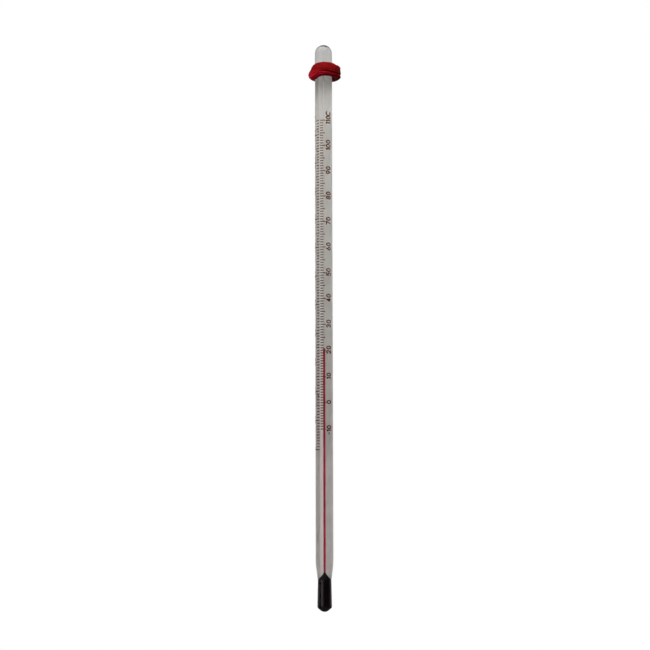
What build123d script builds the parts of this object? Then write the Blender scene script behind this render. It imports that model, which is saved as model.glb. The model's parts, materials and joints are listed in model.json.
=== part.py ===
from build123d import *
from math import cos, degrees, radians, sin
import os

# A solid-stem spirit thermometer for the darkroom, with a Celsius and a Fahrenheit scale.
# The origin is the tip of the bulb, +Z runs up the stem, and the front of the scale faces -Y.
# Seen from the front, the Celsius scale is on the right (+X). All sizes are in millimetres.

os.makedirs("parts", exist_ok=True)

# Stem
total_length = 200.0
stem_radius = 3.05
taper_top = 17.9  # the stem has its full width from here up
taper_lean = (0.14, 1)  # how its sides set off from the foot
flare_start = 185.5  # the flame-rounded top end swells a little above this height
flare_height = 194.5
flare_radius = 3.12
bore_radius = 0.235

# Expansion chamber at the top of the bore
chamber_radius = 0.55
chamber_neck = 191.0
chamber_shoulder = 192.0
chamber_top = 195.0

# Bulb: a thin-walled tube with a blunt, slightly pointed end, fused to the foot of the stem
joint_height = 10.8
joint_radius = 2.33
bulb_radius = 2.52
bulb_corner_height = 1.95
bulb_cone_radius = 2.2
bulb_cone_height = 1.15
bulb_nose_radius = 1.3
bulb_nose_height = 0.42

# Spirit in the bulb, and the cone that leads it into the bore
bulb_wall = 0.42
bulb_floor = 0.6
cavity_corner_height = 2.2
cavity_shoulder = 9.9
cone_base_radius = 1.62
cone_tip_height = 13.5

# Spirit column
reading_celsius = 21.0
meniscus_radius = 0.215
meniscus_length = 10.0
meniscus_dip = 0.1

# White enamel strip drawn into the back of the stem, narrowing with it towards the foot
enamel_inner_radius = 2.35
enamel_outer_radius = 2.62
enamel_foot_inner_radius = 1.78
enamel_foot_outer_radius = 2.0
enamel_half_angle = 55.0
enamel_bottom = 11.4
enamel_top = 189.8

# Scale: both are linear and share one pair of ends
zero_celsius_height = 71.53
celsius_pitch = 0.9103
celsius_low = -10
celsius_high = 110
fahrenheit_low = 0
fahrenheit_high = 230

# Fired ink. The lengths are measured round the stem, from the line down its front.
ink_thickness = 0.02
line_width = 0.33
scale_gap = 0.2
celsius_degree_end = 1.33
celsius_five_end = 1.86
celsius_ten_end = 2.11
fahrenheit_two_end = 1.35
fahrenheit_ten_end = 1.67
fahrenheit_twenty_end = 2.33
celsius_numeral_middle = 3.24
fahrenheit_numeral_middle = 3.45
numeral_height = 2.0
numeral_width = 1.35
numeral_space = 0.14
numeral_rise = 0.25  # the numerals stand this much above their lines
ink_stroke = 0.42
unit_rise = 1.6  # from the top numeral's line to the start of the unit's letter
slip_from = 36  # a slip of ink runs across the gap between these two Fahrenheit lines
slip_to = 38
slip_breadth = 0.45

# Soft rubber ring pushed on below the rounded top, narrower at its top and thicker on one side
ring_height = 190.15
ring_depth = 5.2
ring_radius = 5.9
ring_top_radius = 4.6
ring_shoulder = 0.8  # height of the widest part's upper edge above the middle of the ring
ring_bore = 3.14
ring_blank_bore = 2.4
ring_foot_edge = 1.2
ring_shoulder_edge = 0.9
ring_top_edge = 0.7
ring_thick_side = 117.8  # direction of the thicker side, round from the front towards +X
ring_offset = 0.45


def height_of_celsius(value):
    """Height of a Celsius reading above the tip of the bulb."""
    return zero_celsius_height + celsius_pitch * value


def height_of_fahrenheit(value):
    """Height of a Fahrenheit reading above the tip of the bulb."""
    return height_of_celsius((value - 32) * 5 / 9)


def angle_of_arc(distance):
    """Angle, in degrees, that a distance round the stem takes up."""
    return degrees(distance / stem_radius)


def outward(angle):
    """Unit vector out from the axis, at an angle round from the front towards +X."""
    return Vector(sin(radians(angle)), -cos(radians(angle)), 0)


def write_part(part, name):
    """Name a finished piece and write it to its own file."""
    part.label = name
    export_step(part, f"parts/{name}.step")


def ink_lines(heights, start, end):
    """Thin bands of ink on the stem, from one distance round it to another, at each height."""
    side = outward(angle_of_arc(start))
    with BuildSketch(Plane(origin=(0, 0, 0), x_dir=side, z_dir=side.cross(Vector(0, 0, 1)))) as bands:
        with Locations(*[(stem_radius + ink_thickness / 2, height) for height in heights]):
            Rectangle(ink_thickness, line_width)
    revolve(bands.sketch, axis=Axis.Z, revolution_arc=angle_of_arc(end - start))


def print_plane(distance):
    """Plane for lettering that reads up the stem, facing out at a distance round from the front."""
    return Plane(origin=(0, 0, 0), x_dir=(0, 0, 1), z_dir=outward(angle_of_arc(distance)))


def fire_print():
    """Turn the flat artwork just sketched into a skin of ink on the surface of the stem."""
    extrude(amount=2 * stem_radius)
    with BuildSketch(Plane.XY) as skin:
        Circle(stem_radius + ink_thickness)
        Circle(stem_radius, mode=Mode.SUBTRACT)
    extrude(skin.sketch, amount=total_length, mode=Mode.INTERSECT)


# Characters are drawn with a round pen. The centre lines of the strokes stay inside the pen's box,
# and their corners are set as shares of it.
pen_height = numeral_height - ink_stroke
pen_width = numeral_width - ink_stroke
bowl = pen_width / 2
lobe = 0.256 * pen_height  # radius of either half of a three


def stroke(*points):
    """A run of straight pen strokes through the points."""
    with BuildLine(mode=Mode.PRIVATE) as pen:
        Polyline(*points)
    SlotArc(pen.wire(), ink_stroke)


def ring_stroke(centre, x_radius, y_radius):
    """A closed oval pen stroke."""
    with Locations(centre):
        Ellipse(x_radius + ink_stroke / 2, y_radius + ink_stroke / 2)
        Ellipse(x_radius - ink_stroke / 2, y_radius - ink_stroke / 2, mode=Mode.SUBTRACT)


def arc_stroke(centre, radius, start_angle, arc_size):
    """A pen stroke along an arc."""
    with BuildLine(mode=Mode.PRIVATE) as pen:
        CenterArc(centre, radius, start_angle, arc_size)
    SlotArc(pen.wire(), ink_stroke)


def draw_zero():
    ring_stroke((bowl, pen_height / 2), bowl, pen_height / 2)


def draw_one():
    stroke((0, pen_height - 0.4 * bowl), (0.6 * bowl, pen_height), (0.6 * bowl, 0))


def draw_two():
    arc_stroke((bowl, pen_height - bowl), bowl, -35, 195)
    stroke((1.82 * bowl, pen_height - 1.57 * bowl), (0, 0), (pen_width, 0))


def draw_three():
    arc_stroke((0.95 * bowl, pen_height - lobe), lobe, -90, 240)
    arc_stroke((0.95 * bowl, lobe), lobe, -150, 240)


def draw_four():
    crossbar = 0.3 * pen_height
    upright = 0.72 * pen_width
    stroke((upright, pen_height), (0, crossbar), (pen_width, crossbar))
    stroke((upright, pen_height), (upright, 0))


def draw_five():
    stroke((pen_width, pen_height), (0.18 * pen_width, pen_height), (0.1 * pen_width, 0.56 * pen_height))
    arc_stroke((bowl * 0.9, 0.33 * pen_height), 0.33 * pen_height, -140, 260)


def draw_six():
    ring_stroke((bowl, 0.32 * pen_height), bowl, 0.32 * pen_height)
    stroke((1.25 * bowl, pen_height), (0.12 * bowl, 0.48 * pen_height))


def draw_seven():
    stroke((0, pen_height), (pen_width, pen_height), (0.35 * pen_width, 0))


def draw_eight():
    upper = 0.22 * pen_height
    lower = 0.28 * pen_height
    ring_stroke((bowl, pen_height - upper), 0.85 * bowl, upper)
    ring_stroke((bowl, lower), bowl, lower)


def draw_nine():
    ring_stroke((bowl, 0.68 * pen_height), bowl, 0.32 * pen_height)
    stroke((0.75 * bowl, 0), (1.88 * bowl, 0.52 * pen_height))


def draw_minus():
    stroke((0, pen_height / 2), (0.5 * pen_width, pen_height / 2))


def draw_letter_c():
    arc_stroke((0.5 * pen_height, 0.5 * pen_height), 0.5 * pen_height, 45, 270)


def draw_letter_f():
    stroke((pen_width, pen_height), (0, pen_height), (0, 0))
    stroke((0, 0.55 * pen_height), (0.8 * pen_width, 0.55 * pen_height))


# Each character's pen function and the width of its pen box
characters = {
    "0": (draw_zero, pen_width),
    "1": (draw_one, 0.6 * bowl),
    "2": (draw_two, pen_width),
    "3": (draw_three, pen_width),
    "4": (draw_four, pen_width),
    "5": (draw_five, pen_width),
    "6": (draw_six, pen_width),
    "7": (draw_seven, pen_width),
    "8": (draw_eight, pen_width),
    "9": (draw_nine, pen_width),
    "-": (draw_minus, 0.5 * pen_width),
    "C": (draw_letter_c, 0.85 * pen_height),
    "F": (draw_letter_f, pen_width),
}


def text_length(text):
    """Length of a line of lettering between the outer edges of its first and last strokes."""
    widths = [characters[letter][1] + ink_stroke for letter in text]
    return sum(widths) + numeral_space * (len(text) - 1)


def letter_run(text, start):
    """Lettering that starts at a height up the stem and is centred on the print line."""
    place = start + ink_stroke / 2
    for letter in text:
        draw, width = characters[letter]
        with Locations((place, -pen_height / 2)):
            draw()
        place += width + ink_stroke + numeral_space


def scale_numeral(value, height):
    """A numeral whose digits are centred on its line. A minus sign goes before the digits."""
    digits = str(abs(value))
    start = height + numeral_rise - text_length(digits) / 2
    letter_run(digits, start)
    if value < 0:
        letter_run("-", start - numeral_space - text_length("-"))


def enamel_strip(mode=Mode.ADD):
    """The enamel, a thin curved strip behind the bore that keeps its depth below the glass."""
    side = outward(180 - enamel_half_angle)
    with BuildSketch(Plane(origin=(0, 0, 0), x_dir=side, z_dir=side.cross(Vector(0, 0, 1)))) as strip:
        with BuildLine() as outline:
            inner_foot = (enamel_foot_inner_radius, enamel_bottom)
            outer_foot = (enamel_foot_outer_radius, enamel_bottom)
            Line(inner_foot, outer_foot)
            Spline(outer_foot, (enamel_outer_radius, taper_top), tangents=[taper_lean, (0, 1)])
            Line((enamel_outer_radius, taper_top), (enamel_outer_radius, enamel_top))
            Line((enamel_outer_radius, enamel_top), (enamel_inner_radius, enamel_top))
            Line((enamel_inner_radius, enamel_top), (enamel_inner_radius, taper_top))
            Spline(inner_foot, (enamel_inner_radius, taper_top), tangents=[taper_lean, (0, 1)])
        make_face(outline.edges())
    revolve(strip.sketch, axis=Axis.Z, revolution_arc=2 * enamel_half_angle, mode=mode)


# Stem: drawn glass with a fine bore, a tapered foot and a flame-rounded top
dome_base = total_length - stem_radius

with BuildPart() as stem_tube:
    with BuildSketch(Plane.XZ):
        with BuildLine():
            Line((cone_base_radius, joint_height), (joint_radius, joint_height))
            Spline((joint_radius, joint_height), (stem_radius, taper_top), tangents=[taper_lean, (0, 1)])
            Line((stem_radius, taper_top), (stem_radius, flare_start))
            Spline(
                (stem_radius, flare_start),
                (flare_radius, flare_height),
                (stem_radius, dome_base),
                tangents=[(0, 1), (0, 1), (0, 1)],
            )
            CenterArc((0, dome_base), stem_radius, 0, 90)
            Line((0, total_length), (0, chamber_top))
            chamber_dome = CenterArc((0, chamber_top - chamber_radius), chamber_radius, 0, 90)
            Line(chamber_dome @ 0, (chamber_radius, chamber_shoulder))
            Line((chamber_radius, chamber_shoulder), (bore_radius, chamber_neck))
            Line((bore_radius, chamber_neck), (bore_radius, cone_tip_height))
            Line((bore_radius, cone_tip_height), (cone_base_radius, joint_height))
        make_face()
    revolve(axis=Axis.Z)
    enamel_strip(mode=Mode.SUBTRACT)
write_part(stem_tube.part, "stem_tube")

# White enamel strip inside the back of the stem
with BuildPart() as enamel_back:
    enamel_strip()
write_part(enamel_back.part, "enamel_back")

# Bulb glass
cavity_radius = bulb_radius - bulb_wall
nose_slope = (1, 0.72)

with BuildPart() as bulb_glass:
    with BuildSketch(Plane.XZ):
        with BuildLine():
            nose = TangentArc((0, 0), (bulb_nose_radius, bulb_nose_height), tangent=(1, 0))
            Line(nose @ 1, (bulb_cone_radius, bulb_cone_height))
            Spline(
                (bulb_cone_radius, bulb_cone_height),
                (bulb_radius, bulb_corner_height),
                tangents=[nose_slope, (0, 1)],
            )
            Line((bulb_radius, bulb_corner_height), (joint_radius, joint_height))
            Line((joint_radius, joint_height), (cone_base_radius, joint_height))
            Line((cone_base_radius, joint_height), (cavity_radius, cavity_shoulder))
            Line((cavity_radius, cavity_shoulder), (cavity_radius, cavity_corner_height))
            Spline(
                (cavity_radius, cavity_corner_height),
                (0, bulb_floor),
                tangents=[(0, -1), (-1, 0)],
            )
            Line((0, bulb_floor), (0, 0))
        make_face()
    revolve(axis=Axis.Z)
write_part(bulb_glass.part, "bulb_glass")

# Spirit that fills the bulb and the cone above it
with BuildPart() as bulb_spirit:
    with BuildSketch(Plane.XZ):
        with BuildLine():
            Spline(
                (cavity_radius, cavity_corner_height),
                (0, bulb_floor),
                tangents=[(0, -1), (-1, 0)],
            )
            Line((0, bulb_floor), (0, cone_tip_height))
            Line((0, cone_tip_height), (bore_radius, cone_tip_height))
            Line((bore_radius, cone_tip_height), (cone_base_radius, joint_height))
            Line((cone_base_radius, joint_height), (cavity_radius, cavity_shoulder))
            Line((cavity_radius, cavity_shoulder), (cavity_radius, cavity_corner_height))
        make_face()
    revolve(axis=Axis.Z)
write_part(bulb_spirit.part, "bulb_spirit")

# Spirit column: the thread fills the bore, and the short length under the meniscus rides up and down
reading_height = height_of_celsius(reading_celsius)
meniscus_foot = reading_height - meniscus_length

with BuildPart() as spirit_thread:
    with BuildSketch(Plane.XY.offset(cone_tip_height)):
        Circle(bore_radius)
    extrude(amount=meniscus_foot - cone_tip_height)
write_part(spirit_thread.part, "spirit_thread")

with BuildPart() as spirit_meniscus:
    with BuildSketch(Plane.XZ):
        with BuildLine():
            Line((0, meniscus_foot), (meniscus_radius, meniscus_foot))
            Line((meniscus_radius, meniscus_foot), (meniscus_radius, reading_height))
            dip = TangentArc(
                (0, reading_height - meniscus_dip), (meniscus_radius, reading_height), tangent=(1, 0)
            )
            Line(dip @ 0, (0, meniscus_foot))
        make_face()
    revolve(axis=Axis.Z)
write_part(spirit_meniscus.part, "spirit_meniscus")

# Celsius scale: a line for each degree, longer ones at the fives and the tens
celsius_values = range(celsius_low, celsius_high + 1)
celsius_lengths = {
    "celsius_degree_lines": ([value for value in celsius_values if value % 5], celsius_degree_end),
    "celsius_five_lines": ([value for value in celsius_values if value % 10 == 5], celsius_five_end),
    "celsius_ten_lines": ([value for value in celsius_values if value % 10 == 0], celsius_ten_end),
}
for name, (values, end) in celsius_lengths.items():
    with BuildPart() as celsius_lines:
        ink_lines([height_of_celsius(value) for value in values], scale_gap, end)
    write_part(celsius_lines.part, name)

# Fahrenheit scale: a line for every second degree, longer ones at the tens and the twenties
fahrenheit_values = range(fahrenheit_low, fahrenheit_high + 1, 2)
two_degree_values = [value for value in fahrenheit_values if value % 10]
ten_values = [value for value in fahrenheit_values if value % 20 == 10]
twenty_values = [value for value in fahrenheit_values if value % 20 == 0]
fahrenheit_lengths = {
    "fahrenheit_two_degree_lines": (two_degree_values, fahrenheit_two_end),
    "fahrenheit_ten_lines": (ten_values, fahrenheit_ten_end),
    "fahrenheit_twenty_lines": (twenty_values, fahrenheit_twenty_end),
}
for name, (values, end) in fahrenheit_lengths.items():
    with BuildPart() as fahrenheit_lines:
        ink_lines([height_of_fahrenheit(value) for value in values], -end, -scale_gap)
    write_part(fahrenheit_lines.part, name)

# A slip of ink slants from the upper line's outer end to the lower line's inner end
slip_middle = (fahrenheit_two_end + scale_gap) / 2
slip_reach = (fahrenheit_two_end - scale_gap) / 2
slip_low = height_of_fahrenheit(slip_from) + line_width / 2
slip_high = height_of_fahrenheit(slip_to) - line_width / 2

with BuildPart() as ink_slip:
    with BuildSketch(print_plane(-slip_middle)):
        with BuildLine():
            Polyline(
                (slip_high, slip_reach),
                (slip_high, slip_reach - slip_breadth),
                (slip_low, -slip_reach),
                (slip_low, slip_breadth - slip_reach),
                close=True,
            )
        make_face()
    fire_print()
write_part(ink_slip.part, "ink_slip")

# Numerals and unit marks read up the stem, the Celsius ones right of their lines, the others left
with BuildPart() as celsius_numerals:
    with BuildSketch(print_plane(celsius_numeral_middle)):
        for value in range(celsius_low, celsius_high + 1, 10):
            scale_numeral(value, height_of_celsius(value))
    fire_print()
write_part(celsius_numerals.part, "celsius_numerals")

with BuildPart() as celsius_unit_mark:
    with BuildSketch(print_plane(celsius_numeral_middle)):
        letter_run("C", height_of_celsius(celsius_high) + unit_rise)
    fire_print()
write_part(celsius_unit_mark.part, "celsius_unit_mark")

with BuildPart() as fahrenheit_numerals:
    with BuildSketch(print_plane(-fahrenheit_numeral_middle)):
        for value in range(fahrenheit_low, fahrenheit_high, 20):
            scale_numeral(value, height_of_fahrenheit(value))
    fire_print()
write_part(fahrenheit_numerals.part, "fahrenheit_numerals")

with BuildPart() as fahrenheit_unit_mark:
    with BuildSketch(print_plane(-fahrenheit_numeral_middle)):
        letter_run("F", height_of_fahrenheit(fahrenheit_high) + unit_rise)
    fire_print()
write_part(fahrenheit_unit_mark.part, "fahrenheit_unit_mark")

# Rubber ring: a thick bell-shaped band, off centre, with an upright bore for the stem
ring_across = outward(ring_thick_side)
ring_centre = ring_across * ring_offset + Vector(0, 0, ring_height)
ring_plane = Plane(origin=ring_centre, x_dir=ring_across, z_dir=ring_across.cross(Vector(0, 0, 1)))

with BuildPart() as anti_roll_ring:
    with BuildSketch(ring_plane) as band:
        with BuildLine():
            Polyline(
                (ring_blank_bore, -ring_depth / 2),
                (ring_radius, -ring_depth / 2),
                (ring_radius, ring_shoulder),
                (ring_top_radius, ring_depth / 2),
                (ring_blank_bore, ring_depth / 2),
                close=True,
            )
        make_face()
        foot, shoulder = band.vertices().sort_by(Axis.X)[-2:].sort_by(Axis.Y)
        top = band.vertices().group_by(Axis.Y)[-1].sort_by(Axis.X)[-1]
        fillet(foot, ring_foot_edge)
        fillet(shoulder, ring_shoulder_edge)
        fillet(top, ring_top_edge)
    revolve(axis=Axis(ring_centre, (0, 0, 1)))
    with BuildSketch(Plane.XY.offset(ring_height - ring_depth)):
        Circle(ring_bore)
    extrude(amount=2 * ring_depth, mode=Mode.SUBTRACT)
write_part(anti_roll_ring.part, "anti_roll_ring")
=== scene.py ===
import json
from math import asin, cos, exp, hypot, pi, radians, sin

import bmesh
import bpy
from mathutils import Matrix, Vector, noise


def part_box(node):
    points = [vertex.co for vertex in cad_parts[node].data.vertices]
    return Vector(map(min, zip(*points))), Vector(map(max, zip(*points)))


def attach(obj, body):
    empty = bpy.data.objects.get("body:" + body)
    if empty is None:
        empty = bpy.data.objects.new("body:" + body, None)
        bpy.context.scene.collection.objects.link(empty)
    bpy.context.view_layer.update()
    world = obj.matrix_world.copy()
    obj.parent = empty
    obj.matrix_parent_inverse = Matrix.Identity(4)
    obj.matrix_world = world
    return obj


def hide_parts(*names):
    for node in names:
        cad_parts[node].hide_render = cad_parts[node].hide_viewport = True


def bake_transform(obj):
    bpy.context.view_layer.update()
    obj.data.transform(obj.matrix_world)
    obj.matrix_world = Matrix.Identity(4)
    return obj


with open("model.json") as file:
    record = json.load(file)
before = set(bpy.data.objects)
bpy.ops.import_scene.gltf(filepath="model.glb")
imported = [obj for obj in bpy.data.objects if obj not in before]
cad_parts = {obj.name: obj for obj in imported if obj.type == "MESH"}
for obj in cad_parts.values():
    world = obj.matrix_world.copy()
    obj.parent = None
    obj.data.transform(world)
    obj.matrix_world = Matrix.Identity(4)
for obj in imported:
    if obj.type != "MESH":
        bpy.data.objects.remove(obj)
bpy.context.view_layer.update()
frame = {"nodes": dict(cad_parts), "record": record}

# Looks for the solid-stem spirit thermometer. Lengths here are in millimetres and angles in degrees.
# Lengths are turned into metres as each mesh is written. The origin is the tip of the bulb, +Z runs up
# the stem, and the front of the scale faces -Y.

MM = 0.001


def box_mm(node):
    """Lowest and highest corner of a CAD node, in millimetres."""
    low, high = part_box(node)
    return low / MM, high / MM


stem_low, stem_high = box_mm("stem_tube")
bulb_high = box_mm("bulb_glass")[1]
enamel_low, enamel_high = box_mm("enamel_back")
spirit_low, spirit_high = box_mm("bulb_spirit")
thread_low, thread_high = box_mm("spirit_thread")
meniscus_low, meniscus_high = box_mm("spirit_meniscus")

# Camera: far enough away to look nearly square on, a little below the middle of the thermometer
camera_side = 27.8
camera_rise = -6.1
camera_distance = 450.0
camera_aim_height = 98.92
camera_aim_right = 0.34
camera_roll = -0.14
camera_lens = 70.98


def toward(angle):
    """Unit vector out from the stem, at an angle round from the front towards +X."""
    return Vector((sin(radians(angle)), -cos(radians(angle)), 0))


def smooth(share):
    """Smooth step from 0 to 1."""
    share = min(max(share, 0), 1)
    return share * share * (3 - 2 * share)


def hump(value, middle, width):
    """Bell curve."""
    return exp(-(((value - middle) / width) ** 2))


def turn_from(angle, middle):
    """Difference between two angles, from -180 to 180."""
    return (angle - middle + 180) % 360 - 180


# ---------------------------------------------------------------- profiles and meshes

straight_up = (0, 1)
on_axis = 1e-6  # a point nearer to the axis than this is on it
weld_distance = 1e-5


def hermite(start, end, start_lean, end_lean, steps):
    """Points on a curve between two places, with a direction at each end."""
    points = []
    span = hypot(end[0] - start[0], end[1] - start[1])
    lean_out = Vector(start_lean).normalized() * span
    lean_in = Vector(end_lean).normalized() * span
    for step in range(steps + 1):
        t = step / steps
        blend = (1 - 3 * t**2 + 2 * t**3, t - 2 * t**2 + t**3, 3 * t**2 - 2 * t**3, t**3 - t**2)
        radius = blend[0] * start[0] + blend[1] * lean_out.x + blend[2] * end[0] + blend[3] * lean_in.x
        height = blend[0] * start[1] + blend[1] * lean_out.y + blend[2] * end[1] + blend[3] * lean_in.y
        points.append((radius, height))
    return points


def arc(centre_height, radius, start, end, steps):
    """Points on an arc about the axis, from one angle above the horizontal to another."""
    turn = [radians(start + (end - start) * step / steps) for step in range(steps + 1)]
    return [(radius * cos(angle), centre_height + radius * sin(angle)) for angle in turn]


def line(start, end, steps):
    """Evenly spaced points on a straight line."""
    return [
        tuple(a + (b - a) * step / steps for a, b in zip(start, end)) for step in range(steps + 1)
    ]


def closed_curve(points, count):
    """Points on a smooth closed curve through the given ones, evenly spaced in its parameter."""
    made = []
    total = len(points)
    for step in range(count):
        place = step * total / count
        first = int(place)
        t = place - first
        before, start, end, after = (Vector(points[(first + shift) % total]) for shift in (-1, 0, 1, 2))
        made.append(
            0.5
            * (
                2 * start
                + (end - before) * t
                + (2 * before - 5 * start + 4 * end - after) * t**2
                + (3 * start - 3 * end + after - before) * t**3
            )
        )
    return made


def add_revolved(mesh_data, profile, around):
    """Adds a surface of revolution about the stem's axis from (radius, height) points."""
    angles = [2 * pi * step / around for step in range(around)]
    rings = []
    for radius, height in profile:
        if radius < on_axis:
            rings.append([mesh_data.verts.new((0, 0, height))] * around)
        else:
            rings.append([mesh_data.verts.new((radius * cos(a), radius * sin(a), height)) for a in angles])
    for lower, upper in zip(rings, rings[1:]):
        for step in range(around):
            after = (step + 1) % around
            corners = dict.fromkeys([lower[step], lower[after], upper[after], upper[step]])
            if len(corners) > 2:
                mesh_data.faces.new(list(corners))


def new_piece(name, mesh_data, material):
    """An object from a bmesh in millimetres, in metres, with its material."""
    bmesh.ops.remove_doubles(mesh_data, verts=mesh_data.verts, dist=weld_distance)
    bmesh.ops.recalc_face_normals(mesh_data, faces=mesh_data.faces)
    for face in mesh_data.faces:
        face.smooth = True
    mesh = bpy.data.meshes.new(name)
    mesh_data.to_mesh(mesh)
    mesh_data.free()
    mesh.transform(Matrix.Scale(MM, 4))
    piece = bpy.data.objects.new(name, mesh)
    bpy.context.scene.collection.objects.link(piece)
    mesh.materials.append(material)
    return piece


# ---------------------------------------------------------------- materials


class Nodes:
    """Short way to write the nodes of a material or a world."""

    def __init__(self, owner):
        self.owner = owner
        owner.use_nodes = True
        self.tree = owner.node_tree

    def add(self, kind, inputs=None, **settings):
        """A node, with settings as attributes and inputs by name or number: a value or a socket."""
        node = self.tree.nodes.new(kind)
        for key, value in settings.items():
            setattr(node, key, value)
        self.feed(node, inputs or {})
        return node

    def feed(self, node, inputs):
        """Sets or links a node's inputs."""
        for key, value in inputs.items():
            if isinstance(value, bpy.types.NodeSocket):
                self.tree.links.new(value, node.inputs[key])
            else:
                node.inputs[key].default_value = value

    def finish(self, inputs):
        """Sets or links the inputs of a material's surface shader, and returns the material."""
        self.feed(self.tree.nodes["Principled BSDF"], inputs)
        return self.owner

    def place(self, scale=(1, 1, 1)):
        """Place on the object in millimetres, stretched by a scale."""
        coordinates = self.add("ShaderNodeTexCoord")
        mapping = self.add(
            "ShaderNodeMapping",
            {"Vector": coordinates.outputs["Object"], "Scale": [factor / MM for factor in scale]},
        )
        return mapping.outputs["Vector"]

    def height(self):
        """Height above the tip of the bulb, at rest."""
        return self.add("ShaderNodeSeparateXYZ", {0: self.place()}).outputs["Z"]

    def rightward(self):
        """Distance from the stem's axis towards the side that is on the right in the main view."""
        side = toward(camera_side + 90)
        node = self.add("ShaderNodeVectorMath", {0: self.place(), 1: side}, operation="DOT_PRODUCT")
        return node.outputs["Value"]

    def noise(self, size, stretch=(1, 1, 1), detail=4.0, roughness=0.55):
        """Noise whose lumps have a size in millimetres."""
        node = self.add(
            "ShaderNodeTexNoise",
            {"Vector": self.place(stretch), "Scale": 1 / size, "Detail": detail, "Roughness": roughness},
        )
        return node.outputs["Fac"]

    def calculate(self, operation, *values):
        """Outcome of a sum on one or two values."""
        return self.add("ShaderNodeMath", dict(enumerate(values)), operation=operation).outputs[0]

    def between(self, value, start, end, low=0.0, high=1.0, curve="LINEAR"):
        """Turns the stretch from start to end into the stretch from low to high, and no further."""
        node = self.add(
            "ShaderNodeMapRange",
            {"Value": value, "From Min": start, "From Max": end, "To Min": low, "To Max": high},
            interpolation_type=curve,
        )
        return node.outputs["Result"]

    def ramp(self, value, stops):
        """Colour ramp from (place, colour) stops."""
        node = self.add("ShaderNodeValToRGB", {"Fac": value})
        points = node.color_ramp.elements
        while len(points) < len(stops):
            points.new(0.5)
        for point, (place, colour) in zip(points, stops):
            point.position = place
            point.color = (*colour, 1)
        return node.outputs["Color"]

    def mix_numbers(self, share, first, second):
        """The first number where the share is 0, the second where it is 1."""
        return self.add("ShaderNodeMix", {0: share, 2: first, 3: second}).outputs[0]

    def mix_colours(self, share, first, second, blend="MIX"):
        """The first colour where the share is 0, the second (a colour or a socket) where it is 1."""
        if isinstance(second, tuple):
            second = (*second, 1)
        node = self.add(
            "ShaderNodeMix", {0: share, 6: first, 7: second}, data_type="RGBA", blend_type=blend
        )
        return node.outputs[2]

    def bump(self, height, distance, strength):
        """Surface normal from a height, with its depth in millimetres."""
        node = self.add(
            "ShaderNodeBump", {"Height": height, "Distance": distance * MM, "Strength": strength}
        )
        return node.outputs["Normal"]


def glass_material():
    """Clear drawn glass with faint draw lines along the stem."""
    glass = Nodes(bpy.data.materials.new("clear_glass"))
    draw_lines = glass.noise(0.5, stretch=(1, 1, 0.02), detail=3.0)
    return glass.finish(
        {
            "Base Color": (1.0, 0.985, 0.96, 1),
            "Transmission Weight": 1.0,
            "IOR": 1.49,
            "Roughness": 0.015,
            "Normal": glass.bump(draw_lines, 0.004, 0.5),
        }
    )


def enamel_material():
    """Opaque white enamel, drawn out into faint streaks with the glass. Painted light makes it whiter
    up the stem, and a painted highlight runs along it as a pale band just left of the bore."""
    dull_white, clean_white = (0.66, 0.65, 0.63), (0.8, 0.79, 0.77)
    painted_light_top_white, painted_highlight_white = (0.93, 0.925, 0.885), (0.98, 0.975, 0.96)
    # Painted light: the enamel turns whiter up the stem between these heights
    painted_light_start, painted_light_end = 70, 170
    # Painted highlight: a pale band just left of the bore, its middle, core and edge in millimetres
    painted_highlight_middle, painted_highlight_core, painted_highlight_edge = -0.4, 0.12, 0.34
    enamel = Nodes(bpy.data.materials.new("white_enamel"))
    streaks = enamel.noise(0.7, stretch=(1, 1, 0.015), detail=5.0)
    clouds = enamel.noise(6.0, detail=2.0)
    tone = enamel.calculate("MULTIPLY", streaks, clouds)
    base = enamel.ramp(tone, [(0.1, dull_white), (0.4, clean_white)])
    # Painted light: whiter enamel towards the top of the stem
    painted_light_share = enamel.between(enamel.height(), painted_light_start, painted_light_end)
    base = enamel.mix_colours(painted_light_share, base, painted_light_top_white)
    # Painted highlight: the pale band is mixed in just left of the bore
    aside = enamel.calculate("SUBTRACT", enamel.rightward(), painted_highlight_middle)
    distance = enamel.calculate("ABSOLUTE", aside)
    painted_highlight_band = enamel.between(distance, painted_highlight_core, painted_highlight_edge, 1, 0, curve="SMOOTHSTEP")
    colour = enamel.mix_colours(painted_highlight_band, base, painted_highlight_white)
    return enamel.finish({"Base Color": colour, "Roughness": 0.5, "IOR": 1.1})


def spirit_material(name, deep, pale):
    """Dyed spirit, a little uneven in depth."""
    spirit = Nodes(bpy.data.materials.new(name))
    drift = spirit.noise(1.4, stretch=(1, 1, 0.25), detail=2.0)
    colour = spirit.ramp(drift, [(0.3, deep), (0.7, pale)])
    return spirit.finish({"Base Color": colour, "Roughness": 0.25, "IOR": 1.1})


def ink_material(name, deep, middle, worn):
    """Brown fired ink, thinner and paler in places and towards the top of the scale."""
    fading_start, fading_end, most_fading = 100, 175, 0.45
    ink = Nodes(bpy.data.materials.new(name))
    wear = ink.noise(0.22, detail=5.0, roughness=0.7)
    grain = ink.noise(0.06, detail=2.0)
    colour = ink.ramp(wear, [(0.3, deep), (0.6, middle), (0.8, worn)])
    fading = ink.between(ink.height(), fading_start, fading_end, 0, most_fading)
    return ink.finish(
        {
            "Base Color": ink.mix_colours(fading, colour, worn),
            "Roughness": ink.between(wear, 0, 1, 0.45, 0.75),
            "IOR": 1.2,
            "Normal": ink.bump(grain, 0.01, 0.6),
        }
    )


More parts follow.
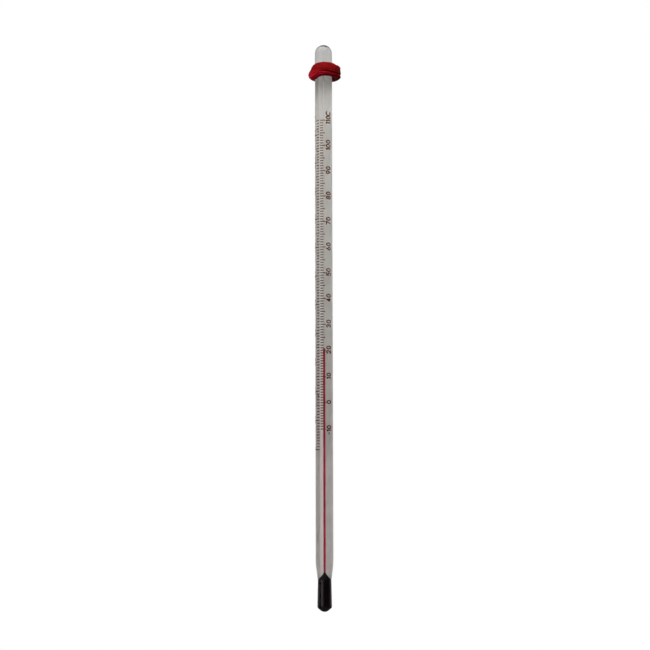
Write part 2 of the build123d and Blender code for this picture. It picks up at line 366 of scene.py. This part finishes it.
def rubber_material():
    """Deep red rubber with a fine moulded grain. Painted shade darkens its folds and a painted highlight
    brightens its ridges, and a painted pinkish reflection lies low on its left."""
    dark_red, mid_red, bright_red = (0.12, 0.001, 0.002), (0.19, 0.002, 0.003), (0.26, 0.004, 0.004)
    # Painted shade darkens the folds and a painted highlight brightens the ridges
    painted_fold_shade, level, painted_ridge_highlight = (0.2, 0.2, 0.2), (1, 1, 1), (1.35, 1.25, 1.25)
    # Painted reflection: a pinkish sheen low on the ring's left, between these heights and sides
    painted_reflection_pink = (0.62, 0.012, 0.03)
    painted_reflection_full_height, painted_reflection_end_height = 188.0, 189.8
    painted_reflection_left, painted_reflection_right, painted_reflection_least = -5, 3, 0.1
    rubber = Nodes(bpy.data.materials.new("red_rubber"))
    mottle = rubber.noise(1.6, detail=6.0, roughness=0.6)
    grain = rubber.noise(0.12, detail=3.0)
    base = rubber.ramp(mottle, [(0.3, dark_red), (0.5, mid_red), (0.72, bright_red)])
    # Painted reflection: pink is mixed in low on the ring's left
    low = rubber.between(rubber.height(), painted_reflection_full_height, painted_reflection_end_height, 1, 0)
    painted_reflection_side = rubber.between(rubber.rightward(), painted_reflection_left, painted_reflection_right, 1, painted_reflection_least)
    painted_reflection_share = rubber.calculate("MULTIPLY", low, painted_reflection_side)
    with_painted_reflection = rubber.mix_colours(painted_reflection_share, base, painted_reflection_pink)
    # Painted shade in the folds and painted highlight on the ridges, from how pointed the surface is
    pointiness = rubber.add("ShaderNodeNewGeometry").outputs["Pointiness"]
    painted_fold_and_ridge_light = rubber.ramp(pointiness, [(0.43, painted_fold_shade), (0.5, level), (0.58, painted_ridge_highlight)])
    return rubber.finish(
        {
            "Base Color": rubber.mix_colours(1.0, with_painted_reflection, painted_fold_and_ridge_light, blend="MULTIPLY"),
            "Roughness": rubber.between(mottle, 0, 1, 0.5, 0.7),
            "IOR": 1.12,
            "Specular IOR Level": 0.25,
            "Normal": rubber.bump(grain, 0.02, 0.7),
        }
    )


clear_glass = glass_material()
white_enamel = enamel_material()
bulb_red = spirit_material("red_spirit_deep", (0.004, 0.001, 0.0015), (0.009, 0.0015, 0.0025))
thread_red = spirit_material("red_spirit_thread", (0.42, 0.016, 0.045), (0.6, 0.035, 0.085))
numeral_ink = ink_material("fired_ink_full", (0.05, 0.012, 0.004), (0.085, 0.026, 0.009), (0.2, 0.09, 0.04))
line_ink = ink_material("fired_ink_thin", (0.075, 0.024, 0.008), (0.13, 0.05, 0.018), (0.3, 0.16, 0.075))
red_rubber = rubber_material()

# ---------------------------------------------------------------- glass

total_length = stem_high.z
stem_radius = frame["record"]["mounts"][0]["dims"]["r_mm"]
flare_radius = stem_high.x
flare_start = 185.5
flare_height = 194.5
taper_top = 17.9
taper_lean = (0.14, 1)
joint_height = stem_low.z
joint_radius = 2.33
bulb_radius = bulb_high.x
bulb_corner_height = 1.95
bulb_cone_radius = 2.2
bulb_cone_height = 1.15
bulb_cone_lean = (1, 0.72)
bulb_nose_radius = 1.3
bulb_nose_height = 0.42
bore_foot = 10.0
bore_glass_radius = 0.12  # the bore looks this fine where it is empty
chamber_radius = 0.5
chamber_neck = 191.0
chamber_shoulder = 191.8
chamber_top = 193.7


def glass_outline():
    """Outer profile of the bulb and the stem, from the tip to the top of the dome."""
    dome_base = total_length - stem_radius
    nose_steps = 8
    nose_turn = asin(2 * bulb_nose_radius * bulb_nose_height / (bulb_nose_radius**2 + bulb_nose_height**2))
    nose_circle = bulb_nose_radius / sin(nose_turn)
    turns = [nose_turn * step / nose_steps for step in range(nose_steps + 1)]
    outline = [(nose_circle * sin(turn), nose_circle * (1 - cos(turn))) for turn in turns]
    cone_foot = (bulb_cone_radius, bulb_cone_height)
    corner = (bulb_radius, bulb_corner_height)
    foot = (joint_radius, joint_height)
    stem_foot = (stem_radius, taper_top)
    stem_top = (stem_radius, flare_start)
    flare = (flare_radius, flare_height)
    outline += line(outline[-1], cone_foot, steps=4)[1:]
    outline += hermite(cone_foot, corner, bulb_cone_lean, straight_up, steps=8)[1:]
    outline += line(corner, foot, steps=10)[1:]
    outline += hermite(foot, stem_foot, taper_lean, straight_up, steps=14)[1:]
    outline += line(stem_foot, stem_top, steps=60)[1:]
    outline += hermite(stem_top, flare, straight_up, straight_up, steps=10)[1:]
    outline += hermite(flare, (stem_radius, dome_base), straight_up, straight_up, steps=6)[1:]
    outline += arc(dome_base, stem_radius, 0, 90, steps=24)[1:]
    return outline[:-1] + [(0, total_length)]


def bore_outline():
    """Profile of the bore and of the chamber above it, which are closed off inside the glass."""
    shoulder = (chamber_radius, chamber_shoulder)
    neck = (bore_glass_radius, chamber_neck)
    dome = arc(chamber_top - chamber_radius, chamber_radius, 90, 0, steps=10)
    outline = [(0, chamber_top)] + dome[1:]
    outline += line(shoulder, neck, steps=6)
    outline += line(neck, (bore_glass_radius, bore_foot), steps=40)[1:]
    return outline + [(0, bore_foot)]


def make_glass():
    """The stem and the bulb, which are fused into one body of glass, with the bore inside."""
    mesh_data = bmesh.new()
    add_revolved(mesh_data, glass_outline(), around=160)
    add_revolved(mesh_data, bore_outline(), around=48)
    piece = new_piece("glass_body", mesh_data, clear_glass)
    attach(piece, "thermometer")
    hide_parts("stem_tube", "bulb_glass")


make_glass()

# ---------------------------------------------------------------- enamel

enamel_inner_radius = 2.35
enamel_outer_radius = enamel_high.y
enamel_foot_inner_radius = 1.78
enamel_foot_outer_radius = 2.0
enamel_middle_angle = 90  # the back of the stem, +Y
enamel_half_angle = 53.0
enamel_waver, waver_rate_up, waver_layer = 1.5, 0.05, 3.0  # its edges stray by some degrees
enamel_relief, relief_rate_across, relief_rate_up = 0.02, 4, 0.1


def enamel_surface(mesh_data, foot_radius, radius, across):
    """Rows of corners up one face of the strip."""
    profile = hermite((foot_radius, enamel_low.z), (radius, taper_top), taper_lean, straight_up, steps=14)
    profile += line((radius, taper_top), (radius, enamel_high.z), steps=150)[1:]
    rows = []
    for out, height in profile:
        row = []
        for step in range(across + 1):
            share = 2 * step / across - 1
            waver = enamel_waver * noise.noise(Vector((share, waver_rate_up * height, waver_layer)))
            angle = radians(enamel_middle_angle + (enamel_half_angle + waver) * share)
            lump = noise.noise(Vector((relief_rate_across * share, relief_rate_up * height, radius)))
            depth = out - enamel_relief + enamel_relief * lump
            row.append(mesh_data.verts.new((depth * cos(angle), depth * sin(angle), height)))
        rows.append(row)
    return rows


def make_enamel():
    """White strip inside the back of the stem, with edges that waver as they were drawn out."""
    across = 40
    mesh_data = bmesh.new()
    inner = enamel_surface(mesh_data, enamel_foot_inner_radius, enamel_inner_radius, across)
    outer = enamel_surface(mesh_data, enamel_foot_outer_radius, enamel_outer_radius, across)
    up = len(inner) - 1
    for rows in (inner, outer):
        for lower, upper in zip(rows, rows[1:]):
            for step in range(across):
                mesh_data.faces.new((lower[step], lower[step + 1], upper[step + 1], upper[step]))
    for side in (0, across):
        for rise in range(up):
            mesh_data.faces.new(
                (inner[rise][side], outer[rise][side], outer[rise + 1][side], inner[rise + 1][side])
            )
    for end in (0, up):
        for step in range(across):
            mesh_data.faces.new(
                (inner[end][step], inner[end][step + 1], outer[end][step + 1], outer[end][step])
            )
    piece = new_piece("enamel_strip", mesh_data, white_enamel)
    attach(piece, "thermometer")
    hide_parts("enamel_back")


make_enamel()

# ---------------------------------------------------------------- spirit

cavity_radius = spirit_high.x
cavity_corner_height = 2.2
cavity_wall_top = 9.6
cone_base_radius = 1.62
cone_base_lean = (-0.5, 1)
cone_tip_lean = (-0.15, 1)
thread_swell = 0.015  # the column is drawn this much wider than the CAD's
thread_radius = thread_high.x + thread_swell
meniscus_dip = 0.1


def make_bulb_spirit():
    """Spirit in the bulb, and its cone that leads up into the bore."""
    corner = (cavity_radius, cavity_corner_height)
    wall_top = (cavity_radius, cavity_wall_top)
    cone_base = (cone_base_radius, joint_height)
    cone_tip = (thread_radius, spirit_high.z)
    outline = hermite((0, spirit_low.z), corner, (1, 0), straight_up, steps=16)
    outline += line(corner, wall_top, steps=8)[1:]
    outline += hermite(wall_top, cone_base, straight_up, cone_base_lean, steps=8)[1:]
    outline += hermite(cone_base, cone_tip, cone_base_lean, cone_tip_lean, steps=12)[1:]
    outline.append((0, spirit_high.z))
    mesh_data = bmesh.new()
    add_revolved(mesh_data, outline, around=96)
    piece = new_piece("bulb_spirit_body", mesh_data, bulb_red)
    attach(piece, "thermometer")
    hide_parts("bulb_spirit")


def make_thread():
    """Spirit in the bore, which stretches between the bulb and the meniscus."""
    outline = [(0, thread_low.z)]
    outline += line((thread_radius, thread_low.z), (thread_radius, thread_high.z), steps=240)
    outline.append((0, thread_high.z))
    mesh_data = bmesh.new()
    add_revolved(mesh_data, outline, around=32)
    piece = new_piece("spirit_column", mesh_data, thread_red)
    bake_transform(piece)
    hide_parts("spirit_thread")


def make_meniscus():
    """The topmost length of the column, with its hollow top."""
    hollow_steps = 6
    outline = [(0, meniscus_low.z)]
    outline += line((thread_radius, meniscus_low.z), (thread_radius, meniscus_high.z), steps=20)
    for step in range(1, hollow_steps + 1):
        share = 1 - step / hollow_steps
        outline.append((thread_radius * share, meniscus_high.z - meniscus_dip * (1 - share * share)))
    mesh_data = bmesh.new()
    add_revolved(mesh_data, outline, around=32)
    piece = new_piece("spirit_top_length", mesh_data, thread_red)
    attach(piece, "spirit_top")
    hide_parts("spirit_meniscus")


make_bulb_spirit()
make_thread()
make_meniscus()

# ---------------------------------------------------------------- printed scale

# The CAD's own lines and characters are kept: characters are inked fully and lines more thinly
printed = [
    "celsius_degree_lines",
    "celsius_five_lines",
    "celsius_ten_lines",
    "celsius_numerals",
    "celsius_unit_mark",
    "fahrenheit_two_degree_lines",
    "fahrenheit_ten_lines",
    "fahrenheit_twenty_lines",
    "fahrenheit_numerals",
    "fahrenheit_unit_mark",
    "ink_slip",
]
for name in printed:
    print_materials = frame["nodes"][name].data.materials
    print_materials.clear()
    print_materials.append(numeral_ink if name.endswith(("numerals", "mark")) else line_ink)

# ---------------------------------------------------------------- rubber ring

ring_middle_height = 190.2
ring_offset = 0.45
ring_grip = 3.13  # least distance of the rubber from the stem's axis
ring_side = toward(camera_side + 90)
ring_front = toward(camera_side)
ring_middle = ring_side * ring_offset + Vector((0, 0, ring_middle_height))

# Section of the ring: (distance from its axis, height), anticlockwise from the foot of the bore
ring_section = [
    (3.05, -2.0),
    (3.6, -2.5),
    (4.6, -2.58),
    (5.4, -2.25),
    (5.75, -1.5),
    (5.8, -0.7),
    (5.6, 0.2),
    (5.05, 1.15),
    (4.5, 1.9),
    (4.0, 2.4),
    (3.55, 2.58),
    (3.05, 2.1),
    (2.95, 0.0),
]
around_ring = 320
along_ring = 144

# Angles on the ring run round from the main view's right, by way of the side that faces the camera.
# The bore stays plain: the surface swells from swell_start out, and fully from swell_blend beyond it.
swell_start = 3.6
swell_blend = 0.8

# Broad uneven lumps, and the wandering of the fine ridges up and down
lump_size, lump_rate_around, lump_rate_up = 0.1, 1.3, 0.25
wander_size, wander_rate, wander_layer = 0.5, 2, 7

# Fine ridges of the wound band: (depth, spacing, share of the wandering, phase in radians)
ring_ridges = [
    (0.055, 0.66, 1.0, 0.0),
    (0.03, 0.37, -0.6, 1.0),
]

# Crease that starts at the front and runs down to the right, with a lip below it
crease_depth, crease_height, crease_width = 0.8, -1.3, 0.26
crease_drop, crease_drop_angle, crease_drop_width = 0.5, 45, 30
crease_start, crease_start_blend = -25, 25
crease_end, crease_end_blend = 112, 30

# Broad swellings: (amount, angle, width of angle, height, width of height)
ring_swellings = [
    (0.7, 10, 35, 1.05, 0.6),  # square shoulder on the right
    (-0.42, 175, 60, 0.5, 1.1),  # narrow shoulder on the left
    (0.1, 165, 40, -1.3, 0.7),  # lobe that hangs at the left
    (0.18, 10, 45, -1.9, 0.6),  # fuller foot on the right
]
back_flattening, back_angle, back_width = 0.1, -90, 50

# The foot of the ring hangs lower at the front left
sag_depth, sag_angle, sag_width = 0.6, 152, 26
sag_height, sag_blend = -1.0, 1.2


def ring_swell(angle, outward, height):
    """How far the rubber stands out from its plain section."""
    around = Vector((cos(radians(angle)), sin(radians(angle)), 0))
    lump_place = around * lump_rate_around + Vector((0, 0, lump_rate_up * height))
    swell = lump_size * noise.noise(lump_place)
    wander = wander_size * noise.noise(around * wander_rate + Vector((0, 0, wander_layer)))
    for depth, spacing, wandering, phase in ring_ridges:
        swell += depth * sin(2 * pi * (height + wandering * wander) / spacing + phase)
    middle = crease_height - crease_drop * hump(angle, crease_drop_angle, crease_drop_width)
    crease = smooth((crease_end - angle) / crease_end_blend)
    crease *= smooth((angle - crease_start) / crease_start_blend)
    swell -= crease_depth * crease * hump(height, middle, crease_width)
    for amount, turn, turn_width, level, level_width in ring_swellings:
        swell += amount * hump(turn_from(angle, turn), 0, turn_width) * hump(height, level, level_width)
    swell -= back_flattening * hump(turn_from(angle, back_angle), 0, back_width)
    return swell * smooth((outward - swell_start) / swell_blend)


def make_ring():
    """Soft rubber ring, folded on itself like a wound band, gripping the stem."""
    section = closed_curve(ring_section, along_ring)
    middle = sum(section, Vector((0, 0))) / len(section)
    mesh_data = bmesh.new()
    loops = []
    for step in range(around_ring):
        angle = turn_from(360 * step / around_ring, 0)
        radial = ring_side * cos(radians(angle)) + ring_front * sin(radians(angle))
        loop = []
        for point in section:
            out = (point - middle).normalized()
            point = point + out * ring_swell(angle, point.x, point.y)
            sag = sag_depth * hump(angle, sag_angle, sag_width) * smooth((sag_height - point.y) / sag_blend)
            place = ring_middle + radial * point.x + Vector((0, 0, point.y - sag))
            reach = hypot(place.x, place.y)
            if reach < ring_grip:
                place.x *= ring_grip / reach
                place.y *= ring_grip / reach
            loop.append(mesh_data.verts.new(place))
        loops.append(loop)
    for near, far in zip(loops, loops[1:] + loops[:1]):
        for place in range(along_ring):
            after = (place + 1) % along_ring
            mesh_data.faces.new((near[place], near[after], far[after], far[place]))
    piece = new_piece("rubber_ring", mesh_data, red_rubber)
    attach(piece, "ring")
    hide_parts("anti_roll_ring")


make_ring()

# ---------------------------------------------------------------- floor, light and camera

floor_drop = 150.0
floor_size = 1300.0
floor_tone = 0.06  # as the object sees it, since the camera sees blank white

# The studio as the object sees it. Its back is grey, and its front is dim below and bright above.
back_strength = 0.45
back_start, back_full = -0.2, 0.35  # where the back sets in: 1 is straight behind the stem
front_strength = 0.03
high_strength = 1.3
high_start, high_full = 0.08, 0.4  # where the bright top sets in: 1 is straight above

# Soft lights: (name, angle round from the camera, angle up, width, height, power in watts)
soft_lights = [
    ("side_light", -43, -12, 750, 2200, 3.6),
    ("top_light", -20, 64, 1400, 900, 7.0),
]
light_distance = 900


def make_floor():
    """Plain floor, well below the thermometer, that looks like blank paper to the camera."""
    mesh_data = bmesh.new()
    half = floor_size * MM / 2
    corners = [(-half, -half, 0), (half, -half, 0), (half, half, 0), (-half, half, 0)]
    mesh_data.faces.new([mesh_data.verts.new(corner) for corner in corners])
    mesh = bpy.data.meshes.new("floor")
    mesh_data.to_mesh(mesh)
    mesh_data.free()
    floor = bpy.data.objects.new("floor", mesh)
    floor.location.z = -floor_drop * MM
    bpy.context.scene.collection.objects.link(floor)
    pale = Nodes(bpy.data.materials.new("pale_floor"))
    pale.finish({"Base Color": (floor_tone, floor_tone, floor_tone, 1), "Roughness": 0.9})
    path = pale.add("ShaderNodeLightPath")
    glow = pale.add("ShaderNodeEmission", {"Color": (1, 1, 1, 1), "Strength": 1.0})
    surface = pale.tree.nodes["Principled BSDF"].outputs[0]
    mixed = pale.add(
        "ShaderNodeMixShader", {0: path.outputs["Is Camera Ray"], 1: surface, 2: glow.outputs[0]}
    )
    pale.feed(pale.tree.nodes["Material Output"], {"Surface": mixed.outputs[0]})
    mesh.materials.append(pale.owner)


def make_world():
    """Blank white to the camera. The object sees a grey back, a dim front and a bright top."""
    world = bpy.data.worlds.new("studio")
    bpy.context.scene.world = world
    studio = Nodes(world)
    direction = studio.add("ShaderNodeTexCoord").outputs["Generated"]
    rise = studio.add("ShaderNodeSeparateXYZ", {0: direction}).outputs["Z"]
    behind = studio.add(
        "ShaderNodeVectorMath", {0: direction, 1: -toward(camera_side)}, operation="DOT_PRODUCT"
    )
    front = studio.between(rise, high_start, high_full, front_strength, high_strength, curve="SMOOTHSTEP")
    depth = studio.between(behind.outputs["Value"], back_start, back_full, curve="SMOOTHSTEP")
    around = studio.mix_numbers(depth, front, back_strength)
    path = studio.add("ShaderNodeLightPath")
    strength = studio.mix_numbers(path.outputs["Is Camera Ray"], around, 1.0)
    studio.feed(studio.tree.nodes["Background"], {"Color": (1, 1, 1, 1), "Strength": strength})


def make_soft_light(name, turn, rise, width, height, power):
    """Rectangular soft light that faces the middle of the thermometer."""
    data = bpy.data.lights.new(name, "AREA")
    data.shape = "RECTANGLE"
    data.size = width * MM
    data.size_y = height * MM
    data.energy = power
    light = bpy.data.objects.new(name, data)
    middle = Vector((0, 0, total_length / 2))
    away = toward(camera_side + turn) * cos(radians(rise)) + Vector((0, 0, sin(radians(rise))))
    light.location = (middle + away * light_distance) * MM
    light.rotation_mode = "QUATERNION"
    light.rotation_quaternion = (-away).to_track_quat("-Z", "Y")
    bpy.context.scene.collection.objects.link(light)


def make_camera():
    """Camera to the right of the scale's front and a little below the middle of the stem."""
    data = bpy.data.cameras.new("camera")
    data.lens = camera_lens
    data.sensor_width = 36.0
    data.clip_start = 0.01
    data.clip_end = 100.0
    camera = bpy.data.objects.new("camera", data)
    rise = radians(camera_rise)
    back = toward(camera_side) * cos(rise) + Vector((0, 0, sin(rise)))
    right = toward(camera_side + 90)
    aim = Vector((0, 0, camera_aim_height)) + right * camera_aim_right
    camera.location = (aim + back * camera_distance) * MM
    facing = (-back).to_track_quat("-Z", "Y").to_matrix()
    roll = Matrix.Rotation(radians(camera_roll), 3, "Z")
    camera.rotation_mode = "QUATERNION"
    camera.rotation_quaternion = (facing @ roll).to_quaternion()
    bpy.context.scene.collection.objects.link(camera)
    bpy.context.scene.camera = camera


make_floor()
make_world()
for light_settings in soft_lights:
    make_soft_light(*light_settings)
make_camera()
bpy.context.scene.view_settings.view_transform = "Standard"
